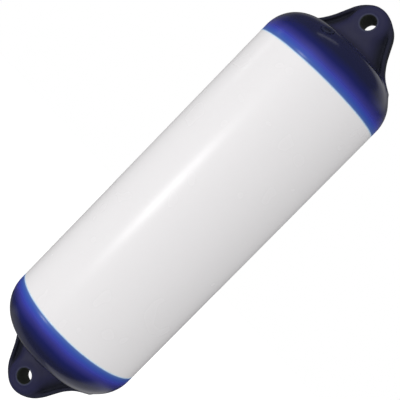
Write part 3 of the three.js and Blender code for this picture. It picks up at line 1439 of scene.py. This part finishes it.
@dataclass(frozen=True)
class Viewpoint:
    """The camera: where it stands about the fender's axis and how it is held."""

    azimuth: float = 21.2
    distance: float = 0.835
    height: float = -0.1739
    pitch: float = -4.283
    yaw: float = -0.088
    roll: float = 44.405
    lens: float = 75.66
    sensor_width: float = 36.0
    sight: float = 100.0

    def build(self) -> bpy.types.Object:
        """Makes the camera and gives it to the scene.

        Returns:
            The camera.
        """
        data = bpy.data.cameras.new("viewpoint")
        data.lens = self.lens
        data.sensor_width = self.sensor_width
        data.clip_end = self.sight
        camera = bpy.data.objects.new("viewpoint", data)
        stand = Matrix.Rotation(math.radians(self.azimuth), 4, "Z")
        stand = stand @ Matrix.Translation((0.0, -self.distance, self.height))
        aim = Matrix.Rotation(math.radians(-self.yaw), 4, "Z")
        aim = aim @ Matrix.Rotation(math.radians(90.0 + self.pitch), 4, "X")
        camera.matrix_world = stand @ aim @ Matrix.Rotation(math.radians(self.roll), 4, "Z")
        bpy.context.scene.collection.objects.link(camera)
        bpy.context.scene.camera = camera
        return camera


def heading(azimuth: float, elevation: float) -> Vector:
    """Gives a direction from the fender.

    Args:
        azimuth: Degrees round the axis, from the side of the lug that faces -Y.
        elevation: Degrees above the level.

    Returns:
        The direction, of length one.
    """
    turn = math.radians(azimuth)
    rise = math.radians(elevation)
    return Vector((math.sin(turn) * math.cos(rise), -math.cos(turn) * math.cos(rise), math.sin(rise)))


@dataclass(frozen=True)
class Softbox:
    """A rectangular lamp that stands off from the fender's middle and faces it."""

    name: str
    azimuth: float
    elevation: float
    distance: float
    width: float
    tall: float
    radiance: float

    def build(self, middle: Vector) -> bpy.types.Object:
        """Makes the lamp.

        Args:
            middle: The fender's middle in metres.

        Returns:
            The lamp.
        """
        data = bpy.data.lights.new(self.name, "AREA")
        data.shape = "RECTANGLE"
        data.size = self.width
        data.size_y = self.tall
        data.energy = self.radiance * math.pi * self.width * self.tall
        lamp = bpy.data.objects.new(self.name, data)
        away = heading(self.azimuth, self.elevation)
        lamp.location = middle + away * self.distance
        lamp.rotation_euler = (-away).to_track_quat("-Z", "Y").to_euler()
        bpy.context.scene.collection.objects.link(lamp)
        return lamp


@dataclass(frozen=True)
class FloorPatch:
    """A pale stretch of floor that the fender reflects, fading out to both sides and with the distance."""

    azimuth: float
    start: float
    full: float
    near: float
    far: float
    level: float


@dataclass(frozen=True)
class Studio:
    """A dim studio round the fender, with a bright window band behind it, a paler wall and a pale floor."""

    sizes: FenderSizes
    floor_height: float = -0.86
    floor_size: float = 8.0
    fill: float = 0.93
    lean: float = 0.3
    lean_azimuth: float = -22.0
    dim: float = 0.05
    glow: float = 0.3
    glow_azimuth: float = -18.0
    glow_elevation: float = -5.0
    glow_start: float = 42.0
    glow_full: float = 18.0
    window_level: float = 0.5
    window_azimuth: float = 165.0
    window_start: float = 68.0
    window_full: float = 15.0
    window_foot: float = 20.0
    window_sill: float = 30.0
    window_head: float = 44.0
    window_top: float = 50.0
    wall_level: float = 0.09
    wall_azimuth: float = 200.0
    wall_start: float = 60.0
    wall_full: float = 40.0
    patches: tuple[FloorPatch, ...] = (
        FloorPatch(azimuth=146.0, start=45.0, full=25.0, near=0.72, far=1.0, level=0.42),
        FloorPatch(azimuth=200.0, start=45.0, full=20.0, near=0.72, far=1.0, level=0.13),
        FloorPatch(azimuth=258.0, start=30.0, full=12.0, near=0.54, far=0.66, level=0.18),
    )
    floor_colour: float = 0.8
    floor_lift: float = 0.4
    lamps: tuple[Softbox, ...] = (
        Softbox("strip_light", azimuth=-23.0, elevation=-5.5, distance=1.5, width=0.24, tall=0.30,
                radiance=12.4),
        Softbox("top_light", azimuth=-58.0, elevation=70.0, distance=1.6, width=0.12, tall=0.6,
                radiance=1.2),
        Softbox("side_light", azimuth=-80.0, elevation=10.0, distance=1.6, width=0.12, tall=0.12,
                radiance=5.0),
    )

    def build(self) -> None:
        """Makes the world, the floor and the lamps."""
        self.world()
        self.floor()
        middle = Vector((0.0, 0.0, self.sizes.middle_z * MM))
        for lamp in self.lamps:
            lamp.build(middle)

    def world(self) -> None:
        """Makes the world.

        Camera rays see white. Reflections see the window band, the paler wall under it and the glow round the
        lamp, in a dim room. Diffuse light comes from all round, a little more from the side of the lamp.
        """
        world = bpy.data.worlds.new("studio")
        bpy.context.scene.world = world
        world.use_nodes = True
        world.node_tree.nodes.clear()
        shader = Shader(world.node_tree)
        direction = shader.add("ShaderNodeTexCoord").outputs["Generated"]
        rays = shader.add("ShaderNodeLightPath")
        image = self.reflected(shader, direction)
        lamp_side = self.towards(shader, direction, self.lean_azimuth)
        soft = shader.value("MULTIPLY_ADD", lamp_side, self.lean, self.fill)
        mirrored = shader.value("MAXIMUM", rays.outputs["Is Glossy Ray"], rays.outputs["Is Transmission Ray"])
        level = shader.blend(mirrored, soft, image)
        level = shader.blend(rays.outputs["Is Camera Ray"], level, 1.0)
        background = shader.add("ShaderNodeBackground", {"Strength": level})
        output = shader.add("ShaderNodeOutputWorld")
        world.node_tree.links.new(background.outputs[0], output.inputs["Surface"])
        background.inputs["Color"].default_value = (1.0, 1.0, 1.0, 1.0)
        world.cycles.sampling_method = "NONE"

    def reflected(self, shader: Shader, direction: bpy.types.NodeSocket) -> bpy.types.NodeSocket:
        """Finds how bright the room is that the fender reflects.

        Args:
            shader: The tree.
            direction: The direction, of length one.

        Returns:
            The brightness there.
        """
        height = shader.add("ShaderNodeSeparateXYZ", {0: direction}).outputs["Z"]
        over_foot = self.step(shader, height, self.window_foot, self.window_sill)
        under_top = self.step(shader, height, self.window_top, self.window_head)
        band = shader.value("MULTIPLY", over_foot, under_top)
        window = self.cone(shader, direction, self.window_azimuth, 0.0, self.window_start, self.window_full)
        window = shader.value("MULTIPLY", band, window)
        wall = self.cone(shader, direction, self.wall_azimuth, 0.0, self.wall_start, self.wall_full)
        wall = shader.value("MULTIPLY", wall, shader.value("SUBTRACT", 1.0, over_foot))
        lamp = self.cone(shader, direction, self.glow_azimuth, self.glow_elevation, self.glow_start,
                         self.glow_full)
        level = shader.value("MULTIPLY_ADD", window, self.window_level, self.dim)
        level = shader.value("MULTIPLY_ADD", wall, self.wall_level, level)
        return shader.value("MULTIPLY_ADD", lamp, self.glow, level)

    @staticmethod
    def step(shader: Shader, height: bpy.types.NodeSocket, start: float, full: float) -> bpy.types.NodeSocket:
        """Fades from zero to one between two elevations in degrees, of which either may be the higher."""
        return shader.fade(height, math.sin(math.radians(start)), math.sin(math.radians(full)))

    def shine(self, shader: Shader) -> bpy.types.NodeSocket:
        """Finds how bright the floor is where the fender reflects it.

        Args:
            shader: The floor's tree.

        Returns:
            The brightness there.
        """
        spot = shader.add("ShaderNodeNewGeometry").outputs["Position"]
        level_only = {0: spot, 1: (1.0, 1.0, 0.0)}
        flat = shader.add("ShaderNodeVectorMath", level_only, operation="MULTIPLY").outputs[0]
        away = shader.add("ShaderNodeVectorMath", {0: flat}, operation="LENGTH").outputs["Value"]
        side = shader.add("ShaderNodeVectorMath", {0: flat}, operation="NORMALIZE").outputs[0]
        level = self.dim
        for patch in self.patches:
            close = shader.fade(away, patch.far, patch.near)
            facing = self.cone(shader, side, patch.azimuth, 0.0, patch.start, patch.full)
            inside = shader.value("MULTIPLY", close, facing)
            level = shader.value("MULTIPLY_ADD", inside, patch.level, level)
        return level

    @staticmethod
    def cone(shader: Shader, direction: bpy.types.NodeSocket, azimuth: float, elevation: float, start: float,
             full: float) -> bpy.types.NodeSocket:
        """Finds how near a direction is to the middle of a lit patch.

        Args:
            shader: The tree.
            direction: The direction, of length one.
            azimuth: The patch's azimuth in degrees.
            elevation: The patch's elevation in degrees.
            start: Angle from its middle at which the patch begins.
            full: Angle from its middle at which it is at its full level.

        Returns:
            Zero outside the patch and one well inside it.
        """
        facing = Studio.towards(shader, direction, azimuth, elevation)
        return shader.fade(facing, math.cos(math.radians(start)), math.cos(math.radians(full)))

    @staticmethod
    def towards(shader: Shader, direction: bpy.types.NodeSocket, azimuth: float,
                elevation: float = 0.0) -> bpy.types.NodeSocket:
        """Measures how far a direction leans towards another.

        Args:
            shader: The tree.
            direction: The direction.
            azimuth: The other's azimuth in degrees, from the side of the lug that faces -Y.
            elevation: The other's elevation in degrees.

        Returns:
            The part of the direction that points there.
        """
        axis = heading(azimuth, elevation)
        node = shader.add("ShaderNodeVectorMath", {0: direction, 1: axis}, operation="DOT_PRODUCT")
        return node.outputs["Value"]

    def floor(self) -> None:
        """Makes the pale floor, lifted to white for the camera and seen through from below."""
        bm = bmesh.new()
        bmesh.ops.create_grid(bm, x_segments=1, y_segments=1, size=self.floor_size / 2)
        bm.transform(Matrix.Translation((0.0, 0.0, self.floor_height)))
        material = bpy.data.materials.new("Studio floor")
        material.use_nodes = True
        material.node_tree.nodes.clear()
        shader = Shader(material.node_tree)
        rays = shader.add("ShaderNodeLightPath")
        matt = shader.add("ShaderNodeBsdfDiffuse", {"Color": (*[self.floor_colour] * 3, 1.0)}).outputs[0]
        lift = shader.value("MULTIPLY", rays.outputs["Is Camera Ray"], self.floor_lift)
        glow = shader.add("ShaderNodeEmission", {"Strength": lift}).outputs[0]
        lit = shader.add("ShaderNodeAddShader", {0: matt, 1: glow}).outputs[0]
        mirrored = shader.value("MAXIMUM", rays.outputs["Is Glossy Ray"], rays.outputs["Is Transmission Ray"])
        image = shader.add("ShaderNodeEmission", {"Strength": self.shine(shader)}).outputs[0]
        lit = shader.add("ShaderNodeMixShader", {0: mirrored, 1: lit, 2: image}).outputs[0]
        clear = shader.add("ShaderNodeBsdfTransparent").outputs[0]
        below = shader.add("ShaderNodeNewGeometry").outputs["Backfacing"]
        surface = shader.add("ShaderNodeMixShader", {0: below, 1: lit, 2: clear}).outputs[0]
        output = shader.add("ShaderNodeOutputMaterial")
        material.node_tree.links.new(surface, output.inputs["Surface"])
        object_from(bm, "studio_floor", material, sharp=30)


def report(piece: bpy.types.Object) -> None:
    """Logs a finished piece's name and its number of triangles."""
    triangles = sum(len(face.vertices) - 2 for face in piece.data.polygons)
    LOG.info("%s: %d triangles", piece.name, triangles)


def main() -> None:
    """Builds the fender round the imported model, and the studio it is shown in."""
    logging.basicConfig(level=logging.INFO, format="%(name)s: %(message)s")
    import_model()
    bpy.context.scene.view_settings.view_transform = "Standard"
    Viewpoint().build()
    sizes = FenderSizes()
    white = WhiteVinyl(sizes).material()
    blue = BlueVinyl(sizes).material()
    sleeve = DarkMoulding("Valve vinyl", colour=(0.011, 0.014, 0.045), wear_and_highlight=(0.018, 0.021, 0.055),
                          roughness=(0.30, 0.50)).material()
    screw = DarkMoulding("Screw nylon", colour=(0.008, 0.010, 0.028), wear_and_highlight=(0.016, 0.018, 0.04),
                         roughness=(0.34, 0.54)).material()
    report(AirBody(sizes, white).build())
    report(RopeHold(End.UPPER, sizes, blue).build())
    report(RopeHold(End.LOWER, sizes, blue).build())
    for piece in AirValve(sizes, sleeve, screw).build():
        report(piece)
    Studio(sizes).build()


if __name__ == "__main__":
    main()
